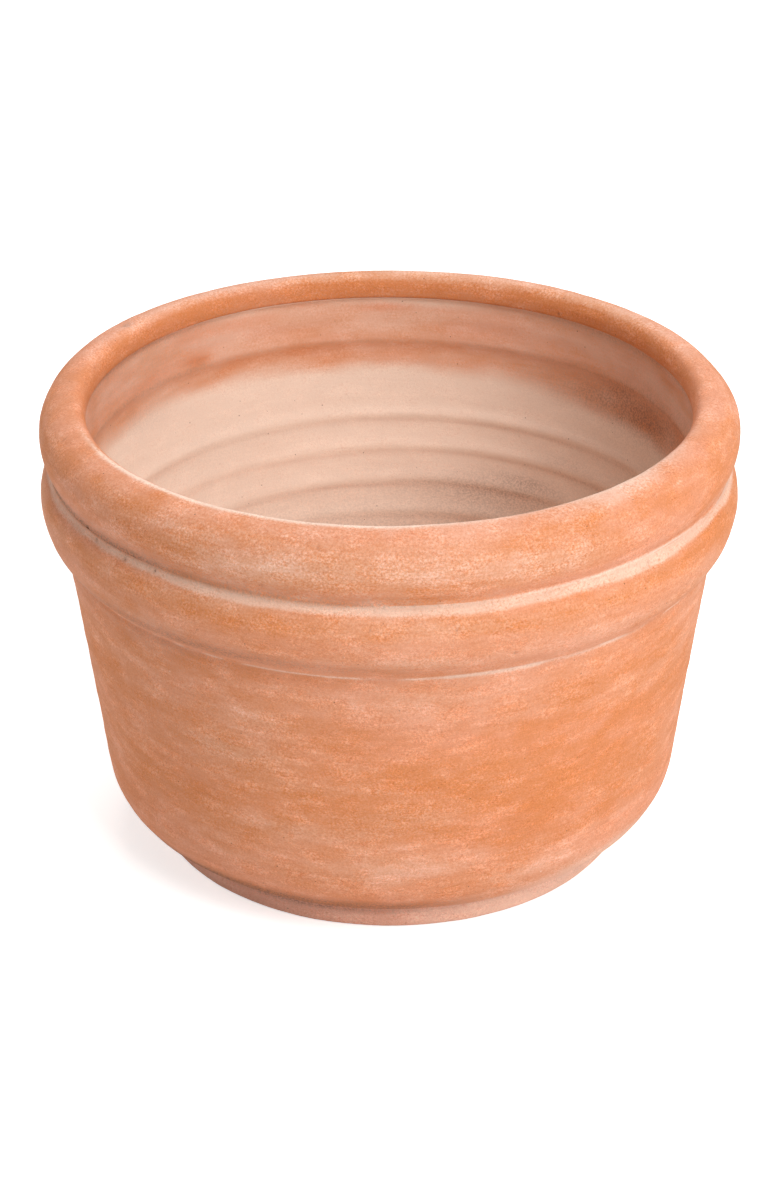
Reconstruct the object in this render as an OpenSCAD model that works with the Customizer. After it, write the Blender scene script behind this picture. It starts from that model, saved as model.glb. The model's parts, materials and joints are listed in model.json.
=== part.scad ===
// Terracotta bowl pot with a rolled rim, a raised band below it and a turned foot.
// The fired pot is one body of clay. Each module is one member of that body, as a
// potter forms it: floor slab, thrown wall, turned foot ring, luted band, rolled rim.
// The members meet face to face on level planes and upright cylinders.
// +Z is up, and the origin is the centre of the plane that the foot rests on.

/* [Overall] */
// Outside diameter across the rim
rim_d = 300; // [280:5:320]
// Height of the pot, from the resting plane to the top of the rim
pot_h = 205.5; // [202:0.5:215]

/* [Wall] */
// Level thickness of the wall below the band
wall_t = 12; // [10.5:0.5:14]
// Thickness of the upright neck of the wall, behind the band and inside the rim
neck_t = 9; // [7:0.5:10]
// Lean of the wall out from upright, in degrees
wall_lean = 7.2; // [6:0.2:8]
// Radius that rounds the outside of the heel
heel_r = 26.6; // [18:0.2:34]
// Slope of the underside between heel and foot, in degrees above level
heel_slope = 32.6; // [28:0.2:40]
// Radius that rounds the inside where the wall meets the floor
inside_heel_r = 24; // [16:1:28]

/* [Band] */
// Height of the crease under the band
band_z = 141.5; // [136:0.5:145]
// Height where the band stands furthest out
band_bulge_z = 162.4; // [158:0.2:166]
// How far the band stands out from the neck
band_proud = 9.8; // [8:0.1:10.5]

/* [Rim] */
// How far the rim stands out from the neck
rim_proud = 9.3; // [8:0.1:10.5]
// Height of the groove between band and rim
groove_z = 176.5; // [173:0.5:180]
// How far the bottom of the groove stands out from the neck
groove_proud = 3.3; // [2:0.1:5]
// Height where the rim stands furthest out
roll_bulge_z = 191.4; // [188:0.2:194]
// Distance from the rim's outside to its highest circle
roll_crest_w = 15; // [13:0.5:17]
// How far the rim hangs in over the neck
lip_hang = 2; // [1:0.2:2.6]
// Depth of clay in the rim above the neck
roll_top_t = 10; // [9:0.5:12]

/* [Floor and foot] */
// Thickness of the floor
floor_t = 15; // [12:0.5:18]
// Depth of the recess inside the foot ring
foot_recess = 6; // [3:0.5:8]
// Height of the foot ring
foot_h = 10; // [8.5:0.5:12]
// Outside radius of the foot where it rests
foot_r = 105.6; // [103:0.2:107]
// Width of the foot ring where it rests
foot_w = 21.6; // [19:0.2:24]
// Flare of the foot's side over its height
foot_flare = 1; // [0:0.2:2]
// Radius that rounds the resting edges of the foot
foot_edge_r = 1.5; // [0.5:0.5:2]
// Radius of the drainage hole
drain_r = 11; // [8:0.5:14]

/* [Hidden] */
$fn = 144;
STEP_DEG = 6; // turn between two neighbouring points of a curved outline
CLAY = "#D98A5C";
CLAY_FOOT = "#C98468";
CLAY_INSIDE = "#E3B79A";

neck_r = rim_d / 2 - rim_proud;        // outside of the neck
neck_in_r = neck_r - neck_t;           // inside of the neck
neck_top = pot_h - roll_top_t;
groove_r = neck_r + groove_proud;
crest_r = rim_d / 2 - roll_crest_w;    // radius of the rim's highest circle
mouth_r = neck_in_r - lip_hang;        // narrowest radius of the mouth
lip_z = neck_top + lip_hang;           // height of the mouth's narrowest circle
floor_top = foot_recess + floor_t;
foot_in_r = foot_r - foot_w;
foot_top_r = foot_r + foot_flare;
// Radius of the joint between floor and wall, where the inside heel turns level
joint_r = outer_r(floor_top) - wall_t - inside_heel_r / tan((90 + wall_lean) / 2);
// Height where the wall's inside reaches the neck
neck_start_z = band_z + (wall_t - neck_t) / tan(wall_lean);

// Outside radius of the straight part of the wall at height z
function outer_r(z) = neck_r - (band_z - z) * tan(wall_lean);

// Height where the straight run of the wall would meet the underside's slope
function heel_corner_z() =
    let (lean = tan(wall_lean), slope = tan(heel_slope))
    (foot_h + slope * (outer_r(0) - foot_top_r)) / (1 - slope * lean);

// Points of an elliptical arc round centre c, from angle a0 to angle a1
function arc(c, rx, rz, a0, a1) =
    let (n = max(2, ceil(abs(a1 - a0) / STEP_DEG)))
    [for (i = [0:n]) let (a = a0 + (a1 - a0) * i / n) [c.x + rx * cos(a), c.y + rz * sin(a)]];

function unit(v) = v / norm(v);
function heading(v) = atan2(v.y, v.x);

// Points of the arc of radius r that rounds the corner on the way from a to b
function rounded(a, corner, b, r) =
    let (
        u = unit(a - corner),
        v = unit(b - corner),
        half = acos(u * v) / 2,
        centre = corner + unit(u + v) * r / sin(half),
        a0 = heading(corner + u * r / tan(half) - centre),
        turn = heading(corner + v * r / tan(half) - centre) - a0,
        sweep = turn > 180 ? turn - 360 : turn < -180 ? turn + 360 : turn
    )
    arc(centre, r, r, a0, a0 + sweep);

// One clay member: an outline of [radius, height] points turned about the pot's axis
module turned(outline) {
    rotate_extrude() polygon(outline);
}

module floor_slab() {
    color(CLAY_INSIDE) turned([
        [drain_r, foot_recess],
        [foot_in_r, foot_recess],
        [foot_in_r, foot_h],
        [joint_r, foot_h],
        [joint_r, floor_top],
        [drain_r, floor_top],
    ]);
}

module wall() {
    heel_z = heel_corner_z();
    heel = rounded([foot_top_r, foot_h], [outer_r(heel_z), heel_z], [neck_r, band_z], heel_r);
    inside_corner = [outer_r(floor_top) - wall_t, floor_top];
    inside_heel = rounded([neck_in_r, neck_start_z], inside_corner, [0, floor_top], inside_heel_r);
    color(CLAY) turned(concat(
        [[joint_r, foot_h], [foot_top_r, foot_h]],
        heel,
        [[neck_r, band_z], [neck_r, neck_top], [neck_in_r, neck_top], [neck_in_r, neck_start_z]],
        inside_heel
    ));
}

module foot_ring() {
    outer_edge = rounded([foot_in_r, 0], [foot_r, 0], [foot_top_r, foot_h], foot_edge_r);
    inner_edge = rounded([foot_in_r, foot_h], [foot_in_r, 0], [foot_r, 0], foot_edge_r);
    color(CLAY_FOOT) turned(concat(
        inner_edge,
        outer_edge,
        [[foot_top_r, foot_h], [foot_in_r, foot_h]]
    ));
}

module raised_band() {
    rise = band_bulge_z - band_z;
    under_r = (pow(band_proud, 2) + pow(rise, 2)) / (2 * band_proud);
    under_centre = [neck_r + band_proud - under_r, band_bulge_z];
    shoulder_rise = (groove_z - band_bulge_z) / sqrt(1 - pow(groove_proud / band_proud, 2));
    color(CLAY) turned(concat(
        arc(under_centre, under_r, under_r, -asin(rise / under_r), 0),
        arc([neck_r, band_bulge_z], band_proud, shoulder_rise, STEP_DEG, acos(groove_proud / band_proud)),
        [[neck_r, groove_z]]
    ));
}

module rim_roll() {
    groove_share = (groove_r - crest_r) / roll_crest_w;
    under_drop = (roll_bulge_z - groove_z) / sqrt(1 - pow(groove_share, 2));
    color(CLAY) turned(concat(
        [[neck_r, groove_z]],
        arc([crest_r, roll_bulge_z], roll_crest_w, under_drop, -acos(groove_share), 0),
        arc([crest_r, roll_bulge_z], roll_crest_w, pot_h - roll_bulge_z, STEP_DEG, 90),
        arc([crest_r, lip_z], crest_r - mouth_r, pot_h - lip_z, 90 + 3 * STEP_DEG, 180),
        arc([neck_in_r, lip_z], lip_hang, lip_hang, 180 + 3 * STEP_DEG, 270),
        [[neck_r, neck_top]]
    ));
}

floor_slab();
wall();
foot_ring();
raised_band();
rim_roll();
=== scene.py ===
"""Looks of a low terracotta bowl pot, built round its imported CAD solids.

The fired pot is one body of clay in five members: floor, wall, foot, band and rim. Each CAD
member is replaced by one clay piece, turned from the member's own outline as the frame gives
it. The piece is then marked as hands and fire mark it, with wobble, throwing ridges, rib
lines, dents, pits and a pale bloom of salts. Lengths are in millimetres until a mesh is made.
"""

import json
import math

import bpy
import numpy as np
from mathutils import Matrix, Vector

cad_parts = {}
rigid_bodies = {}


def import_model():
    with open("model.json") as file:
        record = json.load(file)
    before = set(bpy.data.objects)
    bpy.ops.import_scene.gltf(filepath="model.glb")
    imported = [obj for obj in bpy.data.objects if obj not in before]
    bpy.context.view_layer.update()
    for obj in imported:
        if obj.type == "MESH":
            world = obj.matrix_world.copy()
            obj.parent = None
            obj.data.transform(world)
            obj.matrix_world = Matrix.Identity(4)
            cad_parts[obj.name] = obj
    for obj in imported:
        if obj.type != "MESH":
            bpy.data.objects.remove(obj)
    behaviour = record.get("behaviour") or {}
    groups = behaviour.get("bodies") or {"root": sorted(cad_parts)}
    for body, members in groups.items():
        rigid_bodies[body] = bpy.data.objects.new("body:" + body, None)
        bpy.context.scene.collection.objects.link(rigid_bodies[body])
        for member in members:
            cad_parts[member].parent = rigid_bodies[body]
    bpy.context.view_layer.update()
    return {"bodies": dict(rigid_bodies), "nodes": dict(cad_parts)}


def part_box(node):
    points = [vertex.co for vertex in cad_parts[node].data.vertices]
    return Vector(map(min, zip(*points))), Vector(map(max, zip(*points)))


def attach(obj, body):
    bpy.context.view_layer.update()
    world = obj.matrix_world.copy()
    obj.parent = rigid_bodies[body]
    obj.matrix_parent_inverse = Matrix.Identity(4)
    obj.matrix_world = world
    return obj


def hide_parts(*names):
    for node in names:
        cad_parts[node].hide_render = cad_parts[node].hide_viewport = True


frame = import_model()

MM = 0.001
SEED = 7

# ---------------------------------------------------------------- places on the pot, from the frame

def box_mm(node):
    """Lowest and highest corner of a CAD node, in millimetres."""
    low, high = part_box(node)
    return np.array(low) / MM, np.array(high) / MM


FOOT_TOP = box_mm("foot_ring")[1][2]       # crease between foot and heel
BAND_LOW = box_mm("raised_band")[0][2]     # crease under the band
GROOVE = box_mm("raised_band")[1][2]       # groove between band and rim
BAND_R = box_mm("raised_band")[1][0]
NECK_R = box_mm("wall")[1][0]              # outside of the neck, behind band and rim
NECK_TOP = box_mm("wall")[1][2]            # where the rim's lip hangs in over the neck
POT_H = box_mm("rim_roll")[1][2]
CREST_IN = 15.5                            # from the band's outside in to the rim's crest
CREST_R = BAND_R - CREST_IN
JOINT_R, JOINT_Z = box_mm("floor_slab")[1][[0, 2]]   # level joint of floor and wall

# Places of marks on the photographed pot, as heights above the resting plane
COLLAR_Z = GROOVE - 3.5                    # step where the inside narrows to the neck
RIDGE_Z = BAND_LOW - 6.5                   # highest throwing ridge, at the back
RIDGE_PITCH = 16.0
BELLY_Z = 80.0                             # middle of the body, where its clay is warmest
GLOOM_Z = 120.0                            # below this, painted shade darkens the inside towards the floor

GROOVE_R = NECK_R + 0.8                    # marks in the groove lie outside this radius
UNDER_BAND_R = NECK_R + 4.8                # marks in the crease under the band lie inside it

# ---------------------------------------------------------------- small maths

def smooth(value, low, high):
    """0 below low, 1 above high, and a smooth rise between them."""
    t = np.clip((value - low) / (high - low), 0.0, 1.0)
    return t * t * (3.0 - 2.0 * t)


def bell(value, centre, width):
    """1 at the centre, falling to about a third one width away."""
    return np.exp(-(((value - centre) / width) ** 2))


def lattice(ix, iy, iz, seed):
    """A repeatable value from -1 to 1 for each whole-numbered place."""
    mixed = ix * 73856093 ^ iy * 19349663 ^ iz * 83492791 ^ (seed + 1) * 2654435761
    mixed = (mixed ^ (mixed >> 13)) * 1274126177 & 0xFFFFFFFF
    mixed = (mixed ^ (mixed >> 16)) * 668265263 & 0xFFFFFFFF
    return ((mixed >> 8) & 0xFFFF) / 32767.5 - 1.0


def cloud(points, size, seed):
    """Smooth noise from -1 to 1 at each point. size is that of its lumps along x, y and z."""
    place = points / np.asarray(size, float) + 100.0
    base = np.floor(place).astype(np.int64)
    t = place - base
    t = t * t * t * (t * (t * 6.0 - 15.0) + 10.0)
    total = np.zeros(points.shape[:-1])
    for dx in (0, 1):
        for dy in (0, 1):
            for dz in (0, 1):
                share = (
                    (t[..., 0] if dx else 1.0 - t[..., 0])
                    * (t[..., 1] if dy else 1.0 - t[..., 1])
                    * (t[..., 2] if dz else 1.0 - t[..., 2])
                )
                total += share * lattice(
                    base[..., 0] + dx, base[..., 1] + dy, base[..., 2] + dz, SEED * 31 + seed
                )
    return total


def clouds(points, size, seed):
    """Three sizes of cloud together, each half the size and strength of the one before."""
    total = 0.0
    for step in range(3):
        total = total + cloud(points, np.asarray(size, float) / 2**step, seed + step) / 2**step
    return total / 1.6


# ---------------------------------------------------------------- outlines, from the CAD meshes

CUT_AZIMUTH = math.radians(1.3)            # the half-plane on which outlines are read
GRAIN_STEP = 0.2                           # spacing of the points of a finely cut outline
SOFTEN = 0.9                               # how far wet clay rounds an edge
FINEST_ROW = 0.22                          # step between the mesh's rows at a seam
ROW_GROWTH = 0.12                          # how much wider the step gets in each millimetre
HIDDEN_ROW = 5.0                           # step where another member covers the surface


def read_outline(node):
    """A node's outline, as an ordered loop of [radius, height] points read off its mesh.

    Every face that crosses one half-plane through the axis gives a short line there, and the
    lines join end to end. A point on a turned face takes its radius from the circles that
    the face joins, so that the flats of the mesh don't show.
    """
    mesh = frame["nodes"][node].data
    mesh.calc_loop_triangles()
    spots = np.array([v.co for v in mesh.vertices], float).reshape(-1, 3) / MM
    spots, weld = np.unique(np.round(spots, 4), axis=0, return_inverse=True)
    weld = weld.ravel()
    radius = np.hypot(spots[:, 0], spots[:, 1])
    ahead = spots[:, 0] * math.cos(CUT_AZIMUTH) + spots[:, 1] * math.sin(CUT_AZIMUTH)
    aside = spots[:, 1] * math.cos(CUT_AZIMUTH) - spots[:, 0] * math.sin(CUT_AZIMUTH)
    crossings, joined = {}, {}
    for triangle in mesh.loop_triangles:
        corners = [int(weld[i]) for i in triangle.vertices]
        met = []
        for a, b in zip(corners, corners[1:] + corners[:1]):
            a, b = sorted((a, b))
            if aside[a] * aside[b] >= 0.0:
                continue
            t = aside[a] / (aside[a] - aside[b])
            reach = ahead[a] + t * (ahead[b] - ahead[a])
            if reach <= 0.0:
                continue
            level = abs(spots[a, 2] - spots[b, 2]) < 1e-3
            same_circle = abs(radius[a] - radius[b]) < 1e-3
            r = reach if level and not same_circle else radius[a] + t * (radius[b] - radius[a])
            crossings[a, b] = (r, spots[a, 2] + t * (spots[b, 2] - spots[a, 2]))
            met.append((a, b))
        if len(met) == 2:
            joined.setdefault(met[0], []).append(met[1])
            joined.setdefault(met[1], []).append(met[0])
    start = min(joined)
    loop, before, here = [start], None, start
    while True:
        onward = [key for key in joined[here] if key != before]
        before, here = here, onward[0]
        if here == start:
            break
        loop.append(here)
    points = np.array([crossings[key] for key in loop])
    following = np.roll(points, -1, axis=0)
    turned = np.sum(points[:, 0] * following[:, 1] - following[:, 0] * points[:, 1])
    return points if turned > 0.0 else points[::-1]


def along(points):
    """Distance along a closed loop to each of its points, and its whole length."""
    legs = np.linalg.norm(np.roll(points, -1, axis=0) - points, axis=1)
    return np.concatenate([[0.0], np.cumsum(legs)[:-1]]), legs.sum()


def around(points, distance, values):
    """Values given at a closed loop's points, read at any distance along it."""
    at, length = along(points)
    closed = np.concatenate([values, values[:1]])
    return np.interp(np.mod(distance, length), np.append(at, length), closed)


def finely_cut(points):
    """The same loop with points at one small spacing."""
    length = along(points)[1]
    distance = np.arange(0.0, length, GRAIN_STEP)
    return np.stack([around(points, distance, points[:, k]) for k in (0, 1)], axis=1)


def blurred(values, width):
    """Values round a finely cut loop, averaged over a width in millimetres."""
    reach = np.arange(-int(4 * width / GRAIN_STEP), int(4 * width / GRAIN_STEP) + 1)
    weights = bell(reach * GRAIN_STEP, 0.0, width * math.sqrt(2.0))
    weights /= weights.sum()
    return sum(w * np.roll(values, -k, axis=0) for w, k in zip(weights, reach))


def gap_to(points, others):
    """How far each point is from the nearest point of the other loops, which are compared a
    few hundred points at a time to spare memory."""
    nearest = np.full(len(points), np.inf)
    for other in others:
        for part in np.array_split(other, 1 + len(other) // 400):
            apart = np.linalg.norm(points[:, None, :] - part[None, :, :], axis=2)
            nearest = np.minimum(nearest, apart.min(axis=1))
    return nearest


def from_contact(hidden):
    """Distance along a finely cut loop from each point to the nearest hidden one."""
    count = len(hidden)
    distance = np.where(hidden, 0.0, 1e6)
    for _ in range(2):
        for order in (range(count), range(count - 1, -1, -1)):
            step = 1 if order.step > 0 else -1
            for k in order:
                distance[k] = min(distance[k], distance[(k - step) % count] + GRAIN_STEP)
    return distance


def prepared(node, outlines):
    """A member's soft outline: points, outward normals and distance from the nearest seam."""
    sharp = outlines[node]
    touching = gap_to(sharp, [loop for name, loop in outlines.items() if name != node])
    seam = from_contact(touching < 0.6 * GRAIN_STEP)
    soft = np.stack([blurred(sharp[:, k], SOFTEN) for k in (0, 1)], axis=1)
    # Members are worked together where they meet, so no edge is rounded off there
    soft += (sharp - soft) * (1.0 - smooth(seam, 0.2, 2.5))[:, None]
    ahead = np.roll(soft, -1, axis=0) - np.roll(soft, 1, axis=0)
    normal = np.stack([ahead[:, 1], -ahead[:, 0]], axis=1)
    # Floor and wall are both level where they meet inside, so their normals point up there
    flush = 1.0 - smooth(np.linalg.norm(sharp - [JOINT_R, JOINT_Z], axis=1), 3.0, 6.0)
    at_joint = smooth(flush, 0.5, 1.0) * (seam > 0.0)
    normal = normal * (1.0 - at_joint[:, None]) + np.array([0.0, 1.0]) * at_joint[:, None]
    normal /= np.linalg.norm(normal, axis=1)[:, None]
    return soft, normal, seam


def rows_along(points, seam, coarse):
    """Distances along the loop for the mesh's rows: close at the seams, wide where hidden."""
    step = np.clip(FINEST_ROW + ROW_GROWTH * seam, 0.0, coarse)
    step = np.where(seam > 0.0, step, HIDDEN_ROW)
    step = np.minimum(step, blurred(step, 1.0))
    passed = np.concatenate([[0.0], np.cumsum(GRAIN_STEP / step)])
    count = int(round(passed[-1]))
    targets = np.arange(count) * passed[-1] / count
    return np.interp(targets, passed, np.arange(len(points) + 1) * GRAIN_STEP)


# ---------------------------------------------------------------- what hands do to the clay

def warp(spots):
    """Pots go slightly out of round and out of level while wet. The foot stays flat, and the
    rim's roll is thickest at the front right."""
    x, y, z = spots[..., 0], spots[..., 1], spots[..., 2]
    azimuth = np.arctan2(x, -y)
    loose = smooth(z, 0.0, POT_H)
    swell = 0.45 * np.sin(2 * azimuth) + 0.25 * np.cos(3 * azimuth) + 0.15 * np.cos(5 * azimuth)
    lift = 0.5 * np.cos(azimuth + 2.4) + 0.3 * np.cos(3 * azimuth + 0.4) - 0.4
    radius = np.hypot(x, y)
    stretch = 1.0 + loose * swell / np.maximum(radius, 60.0)
    thicker = 1.3 * bell(azimuth, 0.73, 0.55) - 0.5 * bell(azimuth, -0.66, 0.4)
    raised = z + lift * loose**2 + thicker * smooth(z, GROOVE + 12, POT_H)
    return np.stack([x * stretch, y * stretch, raised], axis=-1)


def ridge_shape(spots, middle, above, below):
    """1 on a line that climbs the inside in one helix, falling away above and below it.

    Distances are in shares of the ridges' pitch, and middle is measured from their crest.
    """
    azimuth = np.arctan2(spots[..., 0], -spots[..., 1])
    wander = 1.2 * cloud(spots, (90, 90, 40), 11)
    climbed = (spots[..., 2] + wander - RIDGE_Z) / RIDGE_PITCH - middle
    phase = np.mod(climbed + azimuth / (2 * math.pi), 1.0) - 0.5
    return np.where(phase > 0.0, bell(phase, 0.0, above), bell(phase, 0.0, below))


def collar_height(spots):
    """Height of the step where the inside narrows to the neck."""
    return COLLAR_Z + 0.8 * cloud(spots, (80, 80, 60), 13)


def throwing_ridges(spots):
    """Soft crests that fingers leave inside, and the step where the inside narrows to the
    neck, with a fainter line above it."""
    z = spots[..., 2]
    strength = 0.75 + 0.35 * cloud(spots, (70, 70, 30), 12)
    ridges = 1.5 * ridge_shape(spots, 0.0, 0.25, 0.09) * strength
    ridges = ridges * (1.0 - smooth(z, RIDGE_Z + 2, RIDGE_Z + 9))
    ridges = ridges * smooth(z, JOINT_Z + 9, JOINT_Z + 29)
    above = z - collar_height(spots)
    collar = np.where(above > 0.0, bell(above, 0.0, 7.0), bell(above, 0.0, 2.2))
    second = 0.35 * bell(z, COLLAR_Z + 12, 3.0) * (0.7 + 0.6 * cloud(spots, (60, 60, 30), 14))
    return ridges + 1.15 * collar + second


def rib_lines(spots):
    """Fine level lines from the rib and the sponge."""
    return (
        0.10 * cloud(spots, (120, 120, 5.0), 21)
        + 0.07 * cloud(spots, (90, 90, 2.2), 22)
        + 0.03 * cloud(spots, (60, 60, 1.3), 23)
    )


def dents(spots):
    """Shallow unevenness from handling, at several sizes."""
    return (
        0.28 * cloud(spots, (55, 55, 34), 31)
        + 0.12 * cloud(spots, (18, 18, 12), 32)
        + 0.05 * cloud(spots, (5, 5, 4), 33)
        + 0.03 * cloud(spots, (2.2, 2.2, 2.0), 34)
    )


PIT_COUNT = 24
rng = np.random.default_rng(SEED)          # also draws the patches of the back, further on
pit_azimuth = rng.uniform(-math.pi, math.pi, PIT_COUNT)
pit_height = np.where(
    rng.random(PIT_COUNT) < 0.75,
    rng.uniform(BAND_LOW + 2, POT_H - 1, PIT_COUNT),
    rng.uniform(FOOT_TOP, BAND_LOW, PIT_COUNT),
)
pit_radius = 0.5 + 0.4 * rng.random(PIT_COUNT) ** 2
PITS_SEEN = [                              # azimuth in degrees, height and radius
    (-58, 177.5, 0.9),
    (-55, 175.0, 0.6),
    (-47, 174.5, 0.8),
    (-40, 175.0, 0.5),
    (-11, 201.0, 0.5),
    (-3, 168.0, 0.5),
    (10, 167.0, 0.7),
]
for a, z, size in PITS_SEEN:
    pit_azimuth = np.append(pit_azimuth, math.radians(a))
    pit_height = np.append(pit_height, z)
    pit_radius = np.append(pit_radius, size)


def pits(spots):
    """Small holes where grit tore out of the outside. 1 at the middle of a pit."""
    depth = np.zeros(spots.shape[:-1])
    azimuth = np.arctan2(spots[..., 0], -spots[..., 1])
    radius = np.hypot(spots[..., 0], spots[..., 1])
    for a, z, size in zip(pit_azimuth, pit_height, pit_radius):
        near = np.abs(spots[..., 2] - z) < 4 * size
        across = np.angle(np.exp(1j * (azimuth[near] - a))) * radius[near]
        apart = np.hypot(across, spots[..., 2][near] - z)
        depth[near] = np.maximum(depth[near], bell(apart, 0.0, size))
    return depth


NICK_AZIMUTH = math.radians(-121)          # the chip on the far left of the rim
NICK_R = 138.0
NICK_SIZE = (3.2, 3.2, 2.4)                # half its size along x, y and z


def nick(spots):
    """One chip knocked out of the rim's crest."""
    centre = np.array([math.sin(NICK_AZIMUTH), -math.cos(NICK_AZIMUTH), 0.0]) * NICK_R
    centre[2] = POT_H
    away = (spots - centre) / NICK_SIZE
    return np.exp(-np.sum(away**2, axis=-1) * (1.0 + 0.5 * cloud(spots, (2, 2, 2), 41)))


FRONT_RIGHT = math.radians(40)


def front_right(spots):
    """1 on the front right of the pot, falling to 0 round its back left."""
    azimuth = np.arctan2(spots[..., 0], -spots[..., 1])
    return 0.5 + 0.5 * np.cos(azimuth - FRONT_RIGHT)


def cove(seam, opening, radius, under):
    """Clay wiped into a crease of the given opening, in degrees, as a round cove.

    Both sides of the crease rise to the same round. The side that is under dives where they
    meet, and the other runs on a little way over it, so that no gap is left.
    """
    half = math.radians(opening / 2)
    reach = radius / math.tan(half)
    meeting = radius * (1.0 - math.sin(half)) / math.tan(half)
    meeting = meeting * np.where(under, 1.0, 0.78)
    short = reach - np.clip(seam, meeting, reach)
    return (radius - np.sqrt(radius**2 - short**2)) * np.clip(seam / meeting, 0.0, 1.0)


def seam_marks(spots, normal_r, inner, seam):
    """Clay worked at the seams: a bead in the crease under the band, and soft coves in the
    groove, under the mouth's lip and over the foot."""
    z = spots[..., 2]
    radius = np.hypot(spots[..., 0], spots[..., 1])
    bead = bell(seam, 0.15, 0.5) * (np.abs(z - BAND_LOW) < 3.0) * (radius < UNDER_BAND_R)
    bead = bead * (normal_r > 0.5) * (1.0 - inner) * (0.4 + 0.2 * cloud(spots, (25, 25, 25), 51))
    groove = cove(seam, 72, 3.1, z > GROOVE)
    groove = groove * (np.abs(z - GROOVE) < 9.0) * (radius > GROOVE_R)
    lip = cove(seam, 95, 4.5, z > NECK_TOP) * (z > NECK_TOP - 9.0) * (radius < CREST_R)
    foot = cove(seam, 128, 1.6, z < FOOT_TOP) * (np.abs(z - FOOT_TOP) < 4.0)
    return bead + groove + lip + foot * (normal_r > 0.3) * (1.0 - inner)


def hand_marks(spots, normal_r, inner, seam):
    """Height of the marks above the plain turned surface, and the share that is pitted."""
    calm = smooth(seam, 0.0, 2.5)
    marks = dents(spots) + rib_lines(spots) * (1.0 - 0.4 * inner)
    marks += inner * throwing_ridges(spots)
    holes = pits(spots) * (1.0 - inner)
    chip = nick(spots)
    height = calm * (marks - 0.75 * holes) - 1.5 * chip + seam_marks(spots, normal_r, inner, seam)
    return height, np.maximum(holes * calm, chip)


# ---------------------------------------------------------------- salts, fire, and painted light and shade

# Pale bloom on the outside: azimuth from the front in degrees (right is positive), height,
# half width in degrees, half height and strength. A negative strength is a bare orange patch.
BLOOM = [
    (3, 130, 12, 6, 0.14),
    (-12, 137, 10, 4, -0.10),
    (3, 70, 11, 7, 0.20),
    (-25, 115, 8, 5, 0.10),
    (-29, 95, 10, 4, 0.17),
    (-8, 84, 12, 4, 0.12),
    (-17, 60, 14, 6, 0.22),
    (0, 42, 12, 8, 0.24),
    (28, 34, 10, 4, 0.30),
    (48, 24, 16, 6, 0.40),
    (61, 18, 9, 4, 0.25),
    (5, 152, 11, 3, 0.20),
    (-36, 152, 14, 4, 0.12),
    (50, 151, 22, 5, 0.12),
    (28, 148, 12, 4, -0.08),
    (-52, 118, 14, 10, 0.04),
    (24, 116, 16, 5, 0.12),
    (-36, 199, 9, 1.6, 0.10),
    (-14, 194, 8, 5, 0.10),
    (6, 192, 24, 7, 0.20),
    (62, 184, 16, 3, 0.16),
    (42, 205, 17, 1.6, 0.30),
    (28, 189, 10, 6, 0.24),
    (-26, 190, 11, 7, 0.12),
    (-28, 171, 10, 3, 0.16),
    (2, 171, 12, 3, 0.10),
    (76, 180, 10, 7, 0.14),
    (12, 168, 9, 3, 0.12),
    (36, 88, 22, 22, -0.14),
    (54, 192, 16, 9, -0.34),
    (56, 167, 16, 5, -0.12),
    (8, 106, 9, 7, -0.12),
    (-40, 76, 16, 6, -0.10),
    (-25, 138, 12, 3, -0.10),
]
BACK_PATCHES = 16
for _ in range(BACK_PATCHES):
    BLOOM.append((
        rng.uniform(80, 280),
        rng.uniform(25, 200),
        rng.uniform(9, 20),
        rng.uniform(3, 9),
        rng.uniform(0.12, 0.3),
    ))

# Darker patches on the outside, given in the same way: mostly painted shade on the side away from
# the light, under the band and on the heel, some of them dirt
DARK_PATCHES = [
    (-42, 95, 15, 60, 0.08),
    (-24, 148, 15, 4, 0.14),
    (-40, 145, 14, 9, 0.11),
    (-4, 178, 18, 2.5, 0.10),
    (-28, 14, 14, 7, 0.17),
    (-40, 20, 13, 4, 0.20),
    (-62, 20, 9, 5, 0.30),
    (46, 5, 15, 7, 0.16),
]

# The same two lists for the inside. Some patches are painted light and shade: pale under the lip on
# the back, dark on the right wall; the dark patches are partly dirt, partly painted shade
BLOOM_INSIDE = [
    (181, 190, 6, 2.5, -0.26),
    (199, 193, 8, 2, -0.20),
    (222, 176, 3, 2, -0.40),
    (171, 193, 11, 4, 0.20),
    (172, 152, 22, 10, 0.12),
    (200, 131, 16, 5, 0.08),
]
DARK_PATCHES_INSIDE = [
    (222, 176, 3, 2, 0.10),
    (127, 169, 4, 3, 0.22),
    (116, 163, 10, 9, 0.18),
    (128, 160, 18, 7, 0.24),
    (158, 102, 14, 10, 0.18),
    (238, 158, 10, 7, 0.12),
    (222, 128, 20, 22, 0.10),
    (139, 124, 8, 3, 0.12),
    (148, 109, 7, 3, 0.26),
    (183, 110, 7, 3, 0.08),
]


def patches(spots, marks):
    """Sum of soft patches given by azimuth, height, half width, half height and strength."""
    azimuth = np.degrees(np.arctan2(spots[..., 0], -spots[..., 1]))
    total = np.zeros(azimuth.shape)
    for middle, height, wide, high, strength in marks:
        apart = np.mod(azimuth - middle + 180.0, 360.0) - 180.0
        across = bell(apart, 0.0, wide)
        total += strength * across * bell(spots[..., 2], height + 0.05 * apart, high)
    return total


def most_right(spots):
    """1 on the strip of the outside that faces the front right most squarely, where the key light
    falls most directly.
    """
    return smooth(front_right(spots), 0.85, 1.0)


def rim_top(spots):
    """1 on the topmost few millimetres of the rim."""
    return smooth(spots[..., 2], NECK_TOP + 6, NECK_TOP + 9)


def in_mouth(spots):
    """1 on the rim's inward side."""
    radius = np.hypot(spots[..., 0], spots[..., 1])
    return (1.0 - smooth(radius, CREST_R - 3, CREST_R + 1)) * (spots[..., 2] > NECK_TOP)


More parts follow.
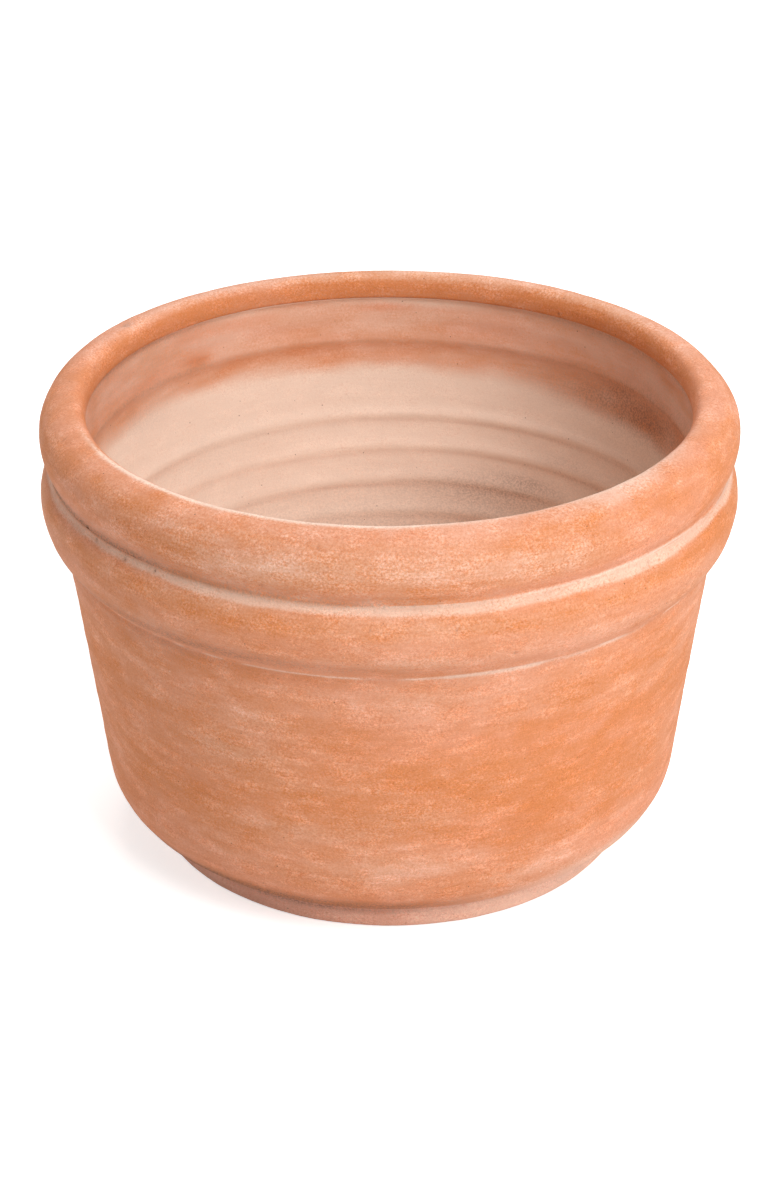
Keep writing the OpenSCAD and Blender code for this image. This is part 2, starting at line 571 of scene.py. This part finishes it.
def heel_shade(spots):
    """1 low on the body just above the foot: painted shade on the heel, which faces down and away
    from the light. The front right has none.
    """
    z = spots[..., 2]
    low = (1.0 - smooth(z, FOOT_TOP + 10, FOOT_TOP + 17)) * (z > FOOT_TOP)
    return low * smooth(1.0 - front_right(spots), 0.0, 0.12)


def salts_and_painted_light_outside(spots):
    """They gather in the groove, in the crease under the band, on the rim and at the heel.
    Part of this paleness is painted light: the groove's strip, the line under the band, the
    front crest and the heel are paler where the light falls, the far crest is paler on its
    top, and the foot is paler for the white floor's bounce. Less of it lies in the heel's
    painted shade.
    """
    z = spots[..., 2]
    radius = np.hypot(spots[..., 0], spots[..., 1])
    right, most, top = front_right(spots), most_right(spots), rim_top(spots)
    # The groove's strip is a pale deposit, made higher and paler on the lit front right as painted
    # light
    low = GROOVE - 3.0 - 0.6 * right + 0.7 * cloud(spots, (14, 14, 14), 71)
    high = GROOVE - 1.5 + 3.0 * most
    strip = smooth(z, low - 1.0, low + 1.0) * (1.0 - smooth(z, high, high + 1.0))
    strip = strip * (radius > GROOVE_R)
    broken = smooth(cloud(spots, (9, 9, 9), 72), -0.6, 0.1)
    # The line under the band is partly a pale deposit and partly a painted highlight on the bead's
    # top, strongest where lit
    crease_line = bell(z, BAND_LOW, 0.6 + 0.7 * most) * (0.1 + 0.9 * right**2) * broken
    crease_line = crease_line * (radius < UNDER_BAND_R)
    # The pale line along the front crest is partly a deposit and partly a painted highlight on the
    # edge
    near_crest = bell(radius, CREST_R - 0.5 - 2.0 * most, 1.6 + 2.0 * most) * top
    near_crest = near_crest * smooth(-spots[..., 1], 20, 90)
    # The far crest is partly pale with salts and partly painted light on its up-facing top
    far_crest = bell(radius, CREST_R - 2, 7.0) * top * smooth(spots[..., 1], 10, 90)
    # The heel is a little pale all round, and paler on the lit strip as painted light
    heel = (1.0 - smooth(z, FOOT_TOP + 2, FOOT_TOP + 26)) * (0.05 + 0.42 * most)

    bloom = 0.12 + 0.12 * clouds(spots, (60, 60, 22), 61) + patches(spots, BLOOM)
    bloom = bloom + strip * (0.46 + 0.18 * right) + crease_line + heel
    # The foot's extra paleness is partly painted light, standing in for the white floor's bounce
    bloom = bloom + 0.27 * far_crest + (0.95 - 0.5 * most) * near_crest + 0.22 * (z < FOOT_TOP)
    worn = 0.85 * in_mouth(spots) * (1.0 - near_crest) * (1.0 - 0.6 * far_crest)
    # Less bloom in the heel's painted shade
    return bloom * (1.0 - worn) * (1.0 - 0.8 * heel_shade(spots))


def dirt_and_shade_outside(spots):
    """Painted shade under the roll and the band, in the groove, in the crease over the foot,
    on the heel and low on the rim's inner face, most of it away from the lit front right.
    The listed dark patches are mostly painted shade too, some of them soiling.
    """
    z = spots[..., 2]
    right, most = front_right(spots), most_right(spots)
    away = 1.0 - right
    under_roll = (z > GROOVE) * (1.0 - smooth(z, GROOVE, GROOVE + 13)) * (1.0 - 0.95 * right)
    groove = bell(z, GROOVE + 0.6 * away, 1.4 + 1.2 * away) * np.where(z > GROOVE, 0.5, 1.0)
    foot_crease = bell(z, FOOT_TOP - 0.7, 2.0)
    under_band = bell(z, BAND_LOW + 6, 4) * (z > BAND_LOW) * (1.0 - 0.6 * most)
    below_band = bell(z, BAND_LOW, 9) * (z < BAND_LOW)

    # Painted shade under the roll's overhang and in the groove, faint on the lit front right
    dirt_and_shade = 0.70 * under_roll + groove * (0.5 - 0.46 * most)
    # Painted shade in the crease between heel and foot, darkest away from the light
    dirt_and_shade = dirt_and_shade + (0.10 + 0.36 * smooth(away, 0.03, 0.25)) * foot_crease
    # Painted shade on the band's underside and just below the band, away from the light
    dirt_and_shade = dirt_and_shade + (0.04 + 0.38 * np.sqrt(away)) * under_band
    dirt_and_shade = dirt_and_shade + 0.20 * np.sqrt(away) * below_band
    # Painted shade on the heel, and dark patches that are mostly painted shade and partly dirt
    dirt_and_shade = dirt_and_shade + 0.58 * heel_shade(spots) + patches(spots, DARK_PATCHES)
    # Painted shade on the lower part of the rim's inner face
    return dirt_and_shade + 0.12 * in_mouth(spots) * (1.0 - smooth(z, NECK_TOP, NECK_TOP + 6))


def warmth_outside(spots):
    """The clay is more orange on the band's shoulder, the roll, the belly and the far mouth."""
    z = spots[..., 2]
    warm = 0.4 + 0.4 * clouds(spots, (80, 80, 30), 81) + 0.45 * bell(z, GROOVE - 9, 5)
    warm = warm + 0.4 * in_mouth(spots) * smooth(spots[..., 1], -20, 60)
    warm = warm + 0.3 * front_right(spots) * bell(z, BELLY_Z, 40)
    warm = warm + 0.2 * smooth(z, GROOVE + 4, GROOVE + 10) * (1.0 - rim_top(spots))
    # Warmer brown in the heel's painted shade
    return warm + 0.3 * heel_shade(spots)


def far_left(spots):
    """1 at the far left of the pot."""
    return smooth(-spots[..., 0], 55, 115)


def in_neck(spots):
    """1 above the step, inside."""
    collar = collar_height(spots)
    return smooth(spots[..., 2], collar - 0.5, collar + 2.0)


def bare_clay(spots):
    """1 in the ragged orange zone just under the step, inside."""
    ragged = 2.2 * clouds(spots, (30, 30, 14), 92)
    low = collar_height(spots) - 17 - 12 * front_right(spots) + ragged
    bare = smooth(spots[..., 2], low, low + 11) * (1.0 - in_neck(spots))
    mottled = 0.85 + 0.25 * clouds(spots, (28, 28, 9), 94)
    return bare * mottled * (1.0 - 0.15 * far_left(spots))


def below_ridges(spots):
    """1 under each throwing ridge, where painted shade lies on the ridge's lower side."""
    below = 0.7 * ridge_shape(spots, -0.09, 0.03, 0.30)
    below = below + 0.6 * ridge_shape(spots, -0.13, 0.05, 0.09)
    below = below * (1.0 - smooth(spots[..., 2], RIDGE_Z, RIDGE_Z + 5))
    return below * (0.7 + 0.7 * clouds(spots, (40, 40, 20), 95))


def near_lip(spots):
    """1 just under the mouth's lip, inside."""
    return smooth(spots[..., 2], NECK_TOP - 7, NECK_TOP)


def salts_and_painted_light_inside(spots):
    """They cover the lower part, and are thin in the neck. Just under the lip, on the back that
    faces the light, it is painted paler, and under each ridge painted shade takes bloom away.
    """
    z = spots[..., 2]
    left, neck = far_left(spots), in_neck(spots)
    bloom = 0.92 - 0.74 * bare_clay(spots) - (0.52 + 0.10 * left) * neck
    bloom = bloom + patches(spots, BLOOM_INSIDE)
    bloom = bloom - (0.06 + 0.08 * left) * neck * bell(z, COLLAR_Z + 4, 4.0)
    # Painted light just under the lip, on the back wall that faces the light
    bloom = bloom + 0.3 * near_lip(spots) * (1.0 - front_right(spots)) * (1.0 - 0.8 * left)
    # Painted shade under each ridge
    bloom = bloom - 0.14 * below_ridges(spots)
    return bloom + (0.05 + 0.14 * neck) * clouds(spots, (40, 40, 9), 91)


def dirt_and_shade_inside(spots):
    """Painted shade on the right wall, which faces away from the light, under the collar's
    step, under each ridge, under the lip and towards the floor. The inside is darker too at
    the far left, and the listed patches are partly soiling and partly painted shade.
    """
    z = spots[..., 2]
    left, right = far_left(spots), front_right(spots)
    # Dark patches, partly dirt and partly painted shade, and painted shade under each ridge
    dirt_and_shade = patches(spots, DARK_PATCHES_INSIDE) + (0.07 + 0.14 * right) * below_ridges(spots)
    # Painted shade along the collar's step
    dirt_and_shade = dirt_and_shade + 0.14 * bell(z, collar_height(spots), 1.4)
    # Darker at the far left, in the neck and the bare zone
    dirt_and_shade = dirt_and_shade + 0.17 * left * (in_neck(spots) + bare_clay(spots))
    # Painted shade under the lip, strongest on the right wall
    dirt_and_shade = dirt_and_shade + near_lip(spots) * (0.04 + 0.45 * right + 0.18 * left)
    # Painted shade on the right inner wall, which faces away from the light
    dirt_and_shade = dirt_and_shade + right**1.5 * (0.30 + 0.26 * bell(z, COLLAR_Z - 7, 10))
    # Painted shade towards the floor
    return dirt_and_shade + 0.18 * (1.0 - smooth(z, GLOOM_Z - 40, GLOOM_Z))


def warmth_inside(spots):
    """The clay is more orange just under the collar and just under the lip."""
    warm = 0.55 + 0.4 * clouds(spots, (36, 36, 8), 93)
    return warm + 0.3 * bare_clay(spots) + 0.3 * near_lip(spots)


def stains_and_painted_light(spots, inner, pitted):
    """Bloom, soiling with painted shade, and warmth of the clay at each point, each from 0 to 1.
    Part of the bloom is painted light.
    """
    outside = salts_and_painted_light_outside(spots), dirt_and_shade_outside(spots), warmth_outside(spots)
    inside = salts_and_painted_light_inside(spots), dirt_and_shade_inside(spots), warmth_inside(spots)
    bloom, dirt_and_shade, warm = [out + (within - out) * inner for out, within in zip(outside, inside)]
    # Pits and the chip are darkened: painted shade in the hollows
    dirt_and_shade = dirt_and_shade + 0.4 * pitted
    return np.clip(bloom, 0, 1), np.clip(dirt_and_shade, 0, 1), np.clip(warm, 0, 1)


# ---------------------------------------------------------------- meshes

def facing_in(node, normal_r, normal_z):
    """1 for each outline point that belongs to the pot's inside, and 0 for the others."""
    if node in ("wall", "floor_slab"):
        return np.where((normal_z > 0.01) | (normal_r < -0.5), 1.0, 0.0)
    return np.zeros(len(normal_r))


def clay_mesh(name, node, outlines, columns, coarse):
    """One member as a closed mesh: its soft outline turned about the axis, then marked."""
    soft, normal, seam = prepared(node, outlines)
    distance = rows_along(soft, seam, coarse)
    position = np.arange(len(soft) + 1) * GRAIN_STEP

    def at_rows(values):
        return np.interp(distance, position, np.append(values, values[0]))

    radius, height = at_rows(soft[:, 0]), at_rows(soft[:, 1])
    normal_r, normal_z = at_rows(normal[:, 0]), at_rows(normal[:, 1])
    from_seam = at_rows(seam)
    inner = facing_in(node, normal_r, normal_z)
    azimuth = np.linspace(-math.pi, math.pi, columns, endpoint=False)[:, None]
    shape = (columns, len(radius))
    outward = np.stack([np.sin(azimuth) + 0 * radius, -np.cos(azimuth) + 0 * radius], axis=-1)
    spots = np.concatenate(
        [outward * radius[:, None], np.broadcast_to(height, shape)[..., None]], axis=-1
    )
    facing, inner, from_seam = [np.broadcast_to(row, shape) for row in (normal_r, inner, from_seam)]
    lift, pitted = hand_marks(spots, facing, inner, from_seam)
    bloom, dirt_and_shade, warm = stains_and_painted_light(spots, inner, pitted)
    direction = np.concatenate(
        [outward * normal_r[:, None], np.broadcast_to(normal_z, shape)[..., None]], axis=-1
    )
    hidden = from_seam <= 0.0
    marked = warp(spots + direction * np.where(hidden, 0.0, lift)[..., None])
    marked[..., 2] = np.maximum(marked[..., 2], 0.0)
    mesh = closed_grid(name, marked * MM)
    # The bloom layer is partly painted light, and the darkening layer is mostly painted shade with
    # some dirt
    for label, values in (("inner", inner), ("bloom", bloom), ("dirt_and_shade", dirt_and_shade), ("warm", warm)):
        layer = mesh.attributes.new(label, "FLOAT", "POINT")
        layer.data.foreach_set("value", np.ascontiguousarray(values, np.float32).ravel())
    return mesh


def closed_grid(name, spots):
    """A mesh of four-sided faces over a grid of points that closes on itself both ways."""
    columns, rows = spots.shape[:2]
    c, r = np.meshgrid(np.arange(columns), np.arange(rows), indexing="ij")
    c_next, r_next = (c + 1) % columns, (r + 1) % rows
    corners = [c * rows + r, c_next * rows + r, c_next * rows + r_next, c * rows + r_next]
    faces = np.stack(corners, axis=-1).reshape(-1, 4)
    mesh = bpy.data.meshes.new(name)
    mesh.vertices.add(columns * rows)
    mesh.vertices.foreach_set("co", spots.astype(np.float32).ravel())
    mesh.loops.add(faces.size)
    mesh.loops.foreach_set("vertex_index", faces.astype(np.int32).ravel())
    mesh.polygons.add(len(faces))
    mesh.polygons.foreach_set("loop_start", np.arange(0, faces.size, 4, dtype=np.int32))
    mesh.update(calc_edges=True)
    mesh.validate()
    mesh.polygons.foreach_set("use_smooth", np.ones(len(faces), bool))
    mesh.set_sharp_from_angle(angle=math.radians(50))
    return mesh


# ---------------------------------------------------------------- shader building blocks

def plug(tree, socket, value):
    """Joins a socket to an output, or gives it a plain value."""
    if isinstance(value, bpy.types.NodeSocket):
        tree.links.new(value, socket)
    else:
        socket.default_value = value


def attribute(tree, name):
    node = tree.nodes.new("ShaderNodeAttribute")
    node.attribute_name = name
    return node.outputs["Fac"]


def maths(tree, operation, a, b):
    node = tree.nodes.new("ShaderNodeMath")
    node.operation = operation
    plug(tree, node.inputs[0], a)
    plug(tree, node.inputs[1], b)
    return node.outputs[0]


def rise(tree, value, low, high, start=0.0, end=1.0):
    """Runs smoothly from start to end as value goes from low to high."""
    node = tree.nodes.new("ShaderNodeMapRange")
    node.interpolation_type = "SMOOTHSTEP"
    for name, given in (
        ("Value", value), ("From Min", low), ("From Max", high), ("To Min", start), ("To Max", end)
    ):
        plug(tree, node.inputs[name], given)
    return node.outputs["Result"]


def added(tree, first, *others):
    for other in others:
        first = maths(tree, "ADD", first, other)
    return first


def swing(tree, value, reach, low=0.2, high=0.8):
    """Noise turned into a swing of the given reach to either side of 0."""
    return rise(tree, value, low, high, -reach, reach)


def blend(tree, share, first, second, mode="MIX"):
    """Two colours mixed. share 0 gives the first."""
    node = tree.nodes.new("ShaderNodeMix")
    node.data_type = "RGBA"
    node.blend_type = mode
    plug(tree, node.inputs[0], share)
    plug(tree, node.inputs[6], first)
    plug(tree, node.inputs[7], second)
    return node.outputs[2]


def grey(tree, value):
    node = tree.nodes.new("ShaderNodeCombineColor")
    for channel in ("Red", "Green", "Blue"):
        tree.links.new(value, node.inputs[channel])
    return node.outputs["Color"]


def bump(tree, height, strength, distance):
    node = tree.nodes.new("ShaderNodeBump")
    node.inputs["Strength"].default_value = strength
    node.inputs["Distance"].default_value = distance
    tree.links.new(height, node.inputs["Height"])
    return node.outputs["Normal"]


def stretched(tree, x, y, z, shift=0.0):
    """The place on the pot, in millimetres, divided by a lump size along each axis. The shift
    keeps one pattern from repeating another."""
    coordinates = tree.nodes.new("ShaderNodeTexCoord")
    node = tree.nodes.new("ShaderNodeMapping")
    node.vector_type = "POINT"
    tree.links.new(coordinates.outputs["Object"], node.inputs["Vector"])
    node.inputs["Scale"].default_value = (1 / (x * MM), 1 / (y * MM), 1 / (z * MM))
    node.inputs["Location"].default_value = (shift, shift, shift)
    return node.outputs["Vector"]


def noise(tree, vector, detail, roughness, distortion=0.0):
    node = tree.nodes.new("ShaderNodeTexNoise")
    tree.links.new(vector, node.inputs["Vector"])
    node.inputs["Scale"].default_value = 1.0
    node.inputs["Detail"].default_value = detail
    node.inputs["Roughness"].default_value = roughness
    node.inputs["Distortion"].default_value = distortion
    return node.outputs["Fac"]


def specks(tree, size, share, reach, shift):
    """Sparse round specks: 1 inside a speck. Only the given share of the cells has one."""
    vector = stretched(tree, size, size, size, shift)
    node = tree.nodes.new("ShaderNodeTexVoronoi")
    tree.links.new(vector, node.inputs["Vector"])
    node.inputs["Scale"].default_value = 1.0
    chosen = tree.nodes.new("ShaderNodeSeparateColor")
    tree.links.new(node.outputs["Color"], chosen.inputs["Color"])
    kept = maths(tree, "LESS_THAN", chosen.outputs["Red"], share)
    size_of = rise(tree, chosen.outputs["Green"], 0.0, 1.0, reach * 0.5, reach)
    near = maths(tree, "SUBTRACT", 1.0, maths(tree, "DIVIDE", node.outputs["Distance"], size_of))
    return maths(tree, "MULTIPLY", rise(tree, near, 0.0, 0.6), kept)


def srgb(code):
    """A colour given as six hexadecimal digits, as the linear colour that shaders use."""
    parts = [int(code[k:k + 2], 16) / 255.0 for k in (0, 2, 4)]
    linear = [c / 12.92 if c <= 0.04045 else ((c + 0.055) / 1.055) ** 2.4 for c in parts]
    return (*linear, 1.0)


# ---------------------------------------------------------------- fired clay

RUST_TINT = "EAD0C2"
# The pinholes' dark colour is painted shade in each small hole
PINHOLE_SHADE = "74452C"
GRIT = "F7E6D6"


def fired_clay(name, orange, rose, pale, pale_inside, dark_tone):
    """Unglazed terracotta. The pattern is laid in the pot's own space, so it runs on from
    one member to the next."""
    material = bpy.data.materials.new(name)
    material.use_nodes = True
    tree = material.node_tree
    shader = tree.nodes["Principled BSDF"]
    inner, bloom = attribute(tree, "inner"), attribute(tree, "bloom")
    dirt_and_shade, warm = attribute(tree, "dirt_and_shade"), attribute(tree, "warm")
    outer = maths(tree, "SUBTRACT", 1.0, inner)

    broad = noise(tree, stretched(tree, 34, 34, 15), 3.0, 0.55, 0.6)
    mottle = noise(tree, stretched(tree, 11, 11, 5, 2.0), 3.0, 0.6)
    brushed = noise(tree, stretched(tree, 20, 20, 3.2, 3.0), 3.0, 0.6)
    combed = noise(tree, stretched(tree, 22, 22, 1.2, 6.0), 2.0, 0.6)
    grain = noise(tree, stretched(tree, 1.0, 1.0, 0.85, 5.0), 2.0, 0.6)
    sand = noise(tree, stretched(tree, 0.45, 0.45, 0.45, 9.0), 1.0, 0.5)
    shadow = noise(tree, stretched(tree, 13, 13, 6, 8.0), 4.0, 0.6)

    # The body of the clay, from dusty rose to orange
    warmth = added(
        tree, warm, swing(tree, broad, -0.20, 0.25, 0.75), swing(tree, mottle, -0.10, 0.25, 0.75)
    )
    colour = blend(tree, rise(tree, warmth, 0.0, 1.0), srgb(rose), srgb(orange))

    # Pale salts: soft patches that are ragged and sandy outside and even inside
    ragged = added(
        tree,
        swing(tree, mottle, 0.06),
        swing(tree, grain, 0.20),
        swing(tree, broad, 0.05, 0.25, 0.75),
        swing(tree, brushed, 0.04, 0.25, 0.75),
        swing(tree, combed, 0.04, 0.25, 0.75),
    )
    share = maths(tree, "ADD", maths(tree, "MULTIPLY", outer, 0.60), 0.40)
    share = maths(tree, "MULTIPLY", share, rise(tree, shadow, 0.35, 0.65, 0.55, 1.35))
    cover = maths(tree, "ADD", bloom, maths(tree, "MULTIPLY", ragged, share))
    salted = rise(tree, cover, -0.1, 1.05, 0.0, 0.97)
    white = blend(tree, inner, srgb(pale), srgb(pale_inside))
    colour = blend(tree, salted, colour, white)

    # Fine specks that are a little redder, where sand shows through the skin of the clay
    rust = noise(tree, stretched(tree, 1.3, 1.3, 1.0, 4.0), 2.0, 0.7)
    shown = maths(tree, "MULTIPLY", rise(tree, rust, 0.50, 0.72, 0.0, 0.55), share)
    colour = blend(tree, shown, colour, srgb(RUST_TINT), "MULTIPLY")

    # Grain that is light and dark by turns, and fine level brush lines
    lightness = added(
        tree,
        swing(tree, sand, 0.11),
        swing(tree, grain, 0.04),
        swing(tree, shadow, 0.07),
        swing(tree, broad, 0.03),
        swing(tree, brushed, 0.02),
        swing(tree, combed, 0.025),
    )
    lightness = maths(tree, "ADD", maths(tree, "MULTIPLY", lightness, share), 1.0)
    colour = blend(tree, 1.0, colour, grey(tree, lightness), "MULTIPLY")

    # Painted shade, with some dirt, in the creases, under the overhangs and on the side away from
    # the light; pinholes painted dark as shade in each hole; and flecks of white grit
    darkened_share = maths(tree, "MULTIPLY", dirt_and_shade, rise(tree, grain, 0.3, 0.7, 0.3, 1.4))
    colour = blend(tree, darkened_share, colour, srgb(dark_tone))
    pinholes = specks(tree, 3.2, 0.18, 0.13, 0.0)
    colour = blend(tree, maths(tree, "MULTIPLY", pinholes, 0.75), colour, srgb(PINHOLE_SHADE))
    grit = specks(tree, 9.0, 0.05, 0.07, 7.0)
    colour = blend(tree, maths(tree, "MULTIPLY", grit, 0.6), colour, srgb(GRIT))
    tree.links.new(colour, shader.inputs["Base Color"])

    roughness = rise(tree, salted, 0.0, 1.0, 0.80, 0.92)
    tree.links.new(roughness, shader.inputs["Roughness"])
    shader.inputs["Specular IOR Level"].default_value = 0.3

    relief = added(
        tree,
        maths(tree, "MULTIPLY", grain, 0.5),
        maths(tree, "MULTIPLY", sand, 0.35),
        maths(tree, "MULTIPLY", brushed, 0.3),
    )
    relief = maths(tree, "SUBTRACT", relief, pinholes)
    tree.links.new(bump(tree, relief, 0.5, 0.3 * MM), shader.inputs["Normal"])
    return material


# ---------------------------------------------------------------- the pot

# slot: orange and rose clay, pale bloom outside and inside, dark tone for dirt and painted shade
COLOURS = {
    "clay_body": ("DF8952", "E89C78", "F4CDB6", "FBE3D0", "7E5A49"),
    "clay_rim": ("DF8952", "E89C7A", "FADCC8", "FBE3D0", "7E6150"),
    # The foot's clay is lighter than the body's, partly its own colour and partly painted light for
    # the white floor's bounce
    "clay_foot": ("F2A482", "F2AB90", "FAD2BC", "FAD2BC", "7A4E40"),
    "clay_inside": ("E29C70", "DA9F7F", "F3CDB8", "FBE3D0", "7E6150"),
}
clays = {slot: fired_clay(slot, *colours) for slot, colours in COLOURS.items()}

# node: name of the piece, record slot, columns round the pot, widest row
MEMBERS = {
    "floor_slab": ("floor_clay", "clay_inside", 300, 3.0),
    "wall": ("wall_clay", "clay_body", 420, 1.95),
    "foot_ring": ("foot_clay", "clay_foot", 600, 1.2),
    "raised_band": ("band_clay", "clay_body", 1080, 0.8),
    "rim_roll": ("rim_clay", "clay_rim", 1080, 0.9),
}

outlines = {node: finely_cut(read_outline(node)) for node in MEMBERS}
for node, (name, slot, columns, coarse) in MEMBERS.items():
    mesh = clay_mesh(name, node, outlines, columns, coarse)
    mesh.materials.append(clays[slot])
    piece = bpy.data.objects.new(name, mesh)
    bpy.context.scene.collection.objects.link(piece)
    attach(piece, list(frame["bodies"])[0])
    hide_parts(node)

# ---------------------------------------------------------------- studio, in metres

FLOOR_GLOW = 0.6
FLOOR_GAP = 0.2 * MM                       # between the foot and the sheet below it
FLOOR_OPENING = 0.103
FLOOR_REACH = 12.0
WORLD_STRENGTH = 0.325
LIGHT_DISTANCE = 2.4
LIGHT_SIZE = 1.3
LIGHT_AIM = 0.1                            # height on the axis that the lamps face
LIGHTS = [                                 # name, azimuth and elevation in degrees, watts
    ("key", 38, 43, 41),
    ("right_card", 95, 5, 4),
    ("left_card", -128, 5, 12),
    ("back_top", 180, 62, 20),
]


def pale_floor():
    """A wide level sheet just under the foot. It can't be seen from below, and an opening
    that the foot covers lets light reach the pot's underside."""
    sides = 96
    turns = [2 * math.pi * k / sides for k in range(sides)]
    rings = (FLOOR_OPENING, FLOOR_REACH)
    corners = [(r * math.cos(t), r * math.sin(t), 0.0) for r in rings for t in turns]
    faces = [(k, sides + k, sides + (k + 1) % sides, (k + 1) % sides) for k in range(sides)]
    mesh = bpy.data.meshes.new("studio_floor")
    mesh.from_pydata(corners, [], faces)
    floor = bpy.data.objects.new("studio_floor", mesh)
    floor.location.z = -FLOOR_GAP
    bpy.context.scene.collection.objects.link(floor)
    material = bpy.data.materials.new("studio_floor")
    material.use_nodes = True
    tree = material.node_tree
    shader = tree.nodes["Principled BSDF"]
    shader.inputs["Base Color"].default_value = (0.95, 0.95, 0.95, 1.0)
    shader.inputs["Roughness"].default_value = 1.0
    shader.inputs["Specular IOR Level"].default_value = 0.0
    shader.inputs["Emission Color"].default_value = (1.0, 1.0, 1.0, 1.0)
    # A little glow that only the camera sees keeps the sheet near white, as in a product photo
    seen = tree.nodes.new("ShaderNodeLightPath").outputs["Is Camera Ray"]
    tree.links.new(maths(tree, "MULTIPLY", seen, FLOOR_GLOW), shader.inputs["Emission Strength"])
    clear = tree.nodes.new("ShaderNodeBsdfTransparent")
    either = tree.nodes.new("ShaderNodeMixShader")
    tree.links.new(tree.nodes.new("ShaderNodeNewGeometry").outputs["Backfacing"], either.inputs[0])
    tree.links.new(shader.outputs[0], either.inputs[1])
    tree.links.new(clear.outputs[0], either.inputs[2])
    tree.links.new(either.outputs[0], tree.nodes["Material Output"].inputs["Surface"])
    mesh.materials.append(material)


def soft_light(name, azimuth, elevation, power):
    """A square lamp that faces the pot. Azimuth is from the front, with right positive."""
    lamp = bpy.data.lights.new(name, "AREA")
    lamp.shape = "SQUARE"
    lamp.size = LIGHT_SIZE
    lamp.energy = power
    a, e = math.radians(azimuth), math.radians(elevation)
    away = np.array([math.sin(a) * math.cos(e), -math.cos(a) * math.cos(e), math.sin(e)])
    holder = bpy.data.objects.new(name, lamp)
    holder.location = away * LIGHT_DISTANCE + np.array([0, 0, LIGHT_AIM])
    holder.rotation_mode = "QUATERNION"
    holder.rotation_quaternion = Vector(away).to_track_quat("Z", "Y")
    bpy.context.scene.collection.objects.link(holder)


def studio_world():
    world = bpy.data.worlds.new("studio")
    bpy.context.scene.world = world
    world.use_nodes = True
    background = world.node_tree.nodes["Background"]
    background.inputs["Color"].default_value = (1.0, 1.0, 1.0, 1.0)
    background.inputs["Strength"].default_value = WORLD_STRENGTH


pale_floor()
studio_world()
for name, azimuth, elevation, power in LIGHTS:
    soft_light(name, azimuth, elevation, power)

# ---------------------------------------------------------------- camera, in metres

CAMERA_ELEVATION = math.radians(27.58)
CAMERA_DISTANCE = 1.3
CAMERA_AIM = 0.1036                        # height on the axis that the picture is centred on
CAMERA_ROLL = math.radians(-0.28)
CAMERA_LENS = 88.27                        # focal length in millimetres, on a 36 mm sensor

camera = bpy.data.cameras.new("camera")
camera.lens = CAMERA_LENS
camera.sensor_width = 36.0
holder = bpy.data.objects.new("camera", camera)
holder.location = (
    0.0,
    -CAMERA_DISTANCE * math.cos(CAMERA_ELEVATION),
    CAMERA_AIM + CAMERA_DISTANCE * math.sin(CAMERA_ELEVATION),
)
holder.rotation_mode = "ZYX"
holder.rotation_euler = (math.pi / 2 - CAMERA_ELEVATION, 0.0, CAMERA_ROLL)
bpy.context.scene.collection.objects.link(holder)
bpy.context.scene.camera = holder

settings = bpy.context.scene.view_settings
settings.view_transform = "Standard"
settings.look = "None"
